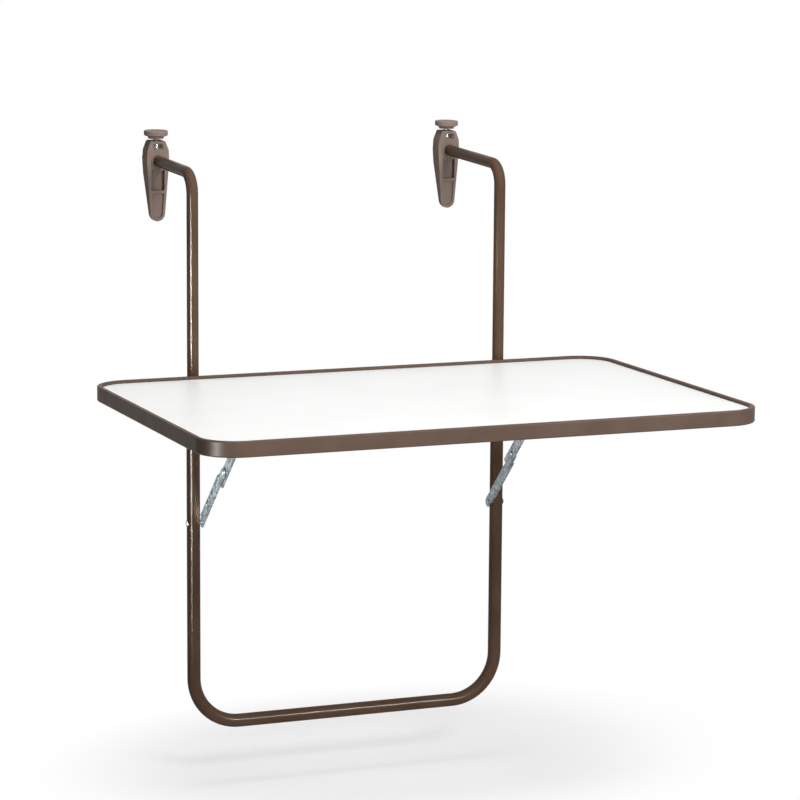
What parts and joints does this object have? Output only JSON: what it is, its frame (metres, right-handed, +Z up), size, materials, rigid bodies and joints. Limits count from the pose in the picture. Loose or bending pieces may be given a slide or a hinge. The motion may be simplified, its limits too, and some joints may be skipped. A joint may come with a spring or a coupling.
{
  "type": "balcony hanging table",
  "caption": "Folding balcony table that hangs over a railing: rimmed white board, U-shaped tube frame, hinged struts, hanger tubes with clamp hooks.",
  "frame": {"origin": "midway between the two corners where the hanger uprights' axes meet the arms' axes; the railing seats just below and behind it", "axes": "+X to the right seen from the table, +Y to the rear over the railing, +Z up"},
  "size_m": [0.9, 0.8657, 0.9759],
  "materials": {
    "white_board": "white laminate, satin",
    "rim_brown": "brown, satin",
    "frame_brown": "brown powder coat, satin",
    "zinc": "zinc plated",
    "bright_steel": "bright zinc",
    "hook_plastic": "brown moulded plastic, matt",
    "dark_plastic": "dark brown plastic, matt"
  },
  "bodies": {
    "hangers": {"hanger_tube_left": "frame_brown", "hanger_tube_right": "frame_brown", "arm_end_cap_left": "dark_plastic", "arm_end_cap_right": "dark_plastic"},
    "frame": {"u_frame_tube": "frame_brown", "leg_bush_left": "dark_plastic", "leg_bush_right": "dark_plastic", "hinge_stud_left": "frame_brown", "hinge_stud_right": "frame_brown", "hinge_washers": "zinc", "hinge_nuts": "zinc", "strut_bolt_left": "zinc", "strut_bolt_right": "zinc", "clamp_boss_left": "frame_brown", "clamp_boss_right": "frame_brown", "clamp_bolts": "zinc"},
    "table_top": {"tabletop_board": "white_board", "edge_rim": "rim_brown", "support_rail_left": "frame_brown", "support_rail_right": "frame_brown", "rail_screws": "zinc", "strut_pin_left": "zinc", "strut_pin_right": "zinc"},
    "lower_link_left": {"lower_strut_left": "zinc", "knee_rivet_outer_left": "zinc"},
    "upper_link_left": {"upper_strut_left": "zinc", "knee_rivet_inner_left": "zinc"},
    "hook_left": {"hook_body_left": "hook_plastic", "captive_nut_left": "bright_steel"},
    "pad_left": {"thrust_pad_left": "dark_plastic"},
    "knob_left": {"clamp_spindle_left": "bright_steel", "clamp_knob_left": "hook_plastic"},
    "lower_link_right": {"lower_strut_right": "zinc", "knee_rivet_outer_right": "zinc"},
    "upper_link_right": {"upper_strut_right": "zinc", "knee_rivet_inner_right": "zinc"},
    "hook_right": {"hook_body_right": "hook_plastic", "captive_nut_right": "bright_steel"},
    "pad_right": {"thrust_pad_right": "dark_plastic"},
    "knob_right": {"clamp_spindle_right": "bright_steel", "clamp_knob_right": "hook_plastic"}
  },
  "joints": [
    {"name": "height_slide", "type": "slide", "parent": "hangers", "child": "frame", "axis": [0, 0, 1], "range_m": [-0.09, 0.03]},
    {"name": "top_fold", "type": "hinge", "parent": "frame", "child": "table_top", "pos_m": [0, 0, -0.361], "axis": [1, 0, 0], "range_deg": [0, 90]},
    {"name": "lower_link_left_swing", "type": "hinge", "parent": "frame", "child": "lower_link_left", "pos_m": [-0.269, 0, -0.569], "axis": [1, 0, 0], "range_deg": [-46.35, 0]},
    {"name": "upper_link_left_swing", "type": "hinge", "parent": "table_top", "child": "upper_link_left", "pos_m": [-0.269, -0.218, -0.361], "axis": [1, 0, 0], "range_deg": [0, 43.66]},
    {"name": "hook_left_slide", "type": "slide", "parent": "hangers", "child": "hook_left", "axis": [0, 0.9994, 0.0349], "range_m": [-0.128, 0.041]},
    {"name": "pad_left_slide", "type": "slide", "parent": "hook_left", "child": "pad_left", "axis": [0, -0.0349, 0.9994], "range_m": [0, 0.005]},
    {"name": "knob_left_turn", "type": "hinge", "parent": "pad_left", "child": "knob_left", "pos_m": [-0.269, 0.19024, 0.03946], "axis": [0, -0.0349, 0.9994], "range_deg": [0, 1440.5]},
    {"name": "lower_link_right_swing", "type": "hinge", "parent": "frame", "child": "lower_link_right", "pos_m": [0.269, 0, -0.569], "axis": [1, 0, 0], "range_deg": [-46.35, 0]},
    {"name": "upper_link_right_swing", "type": "hinge", "parent": "table_top", "child": "upper_link_right", "pos_m": [0.269, -0.218, -0.361], "axis": [1, 0, 0], "range_deg": [0, 43.66]},
    {"name": "hook_right_slide", "type": "slide", "parent": "hangers", "child": "hook_right", "axis": [0, 0.9994, 0.0349], "range_m": [-0.169, 0]},
    {"name": "pad_right_slide", "type": "slide", "parent": "hook_right", "child": "pad_right", "axis": [0, -0.0349, 0.9994], "range_m": [0, 0.005]},
    {"name": "knob_right_turn", "type": "hinge", "parent": "pad_right", "child": "knob_right", "pos_m": [0.269, 0.23121, 0.04089], "axis": [0, -0.0349, 0.9994], "range_deg": [0, 1440.5]}
  ],
  "couplings": [
    {"joint": "lower_link_left_swing", "follows": "top_fold", "ratio": -0.51494},
    {"joint": "upper_link_left_swing", "follows": "top_fold", "ratio": 0.48506},
    {"joint": "knob_left_turn", "follows": "pad_left_slide", "rad_per_m": 5026.5},
    {"joint": "lower_link_right_swing", "follows": "top_fold", "ratio": -0.51494},
    {"joint": "upper_link_right_swing", "follows": "top_fold", "ratio": 0.48506},
    {"joint": "knob_right_turn", "follows": "pad_right_slide", "rad_per_m": 5026.5}
  ]
}
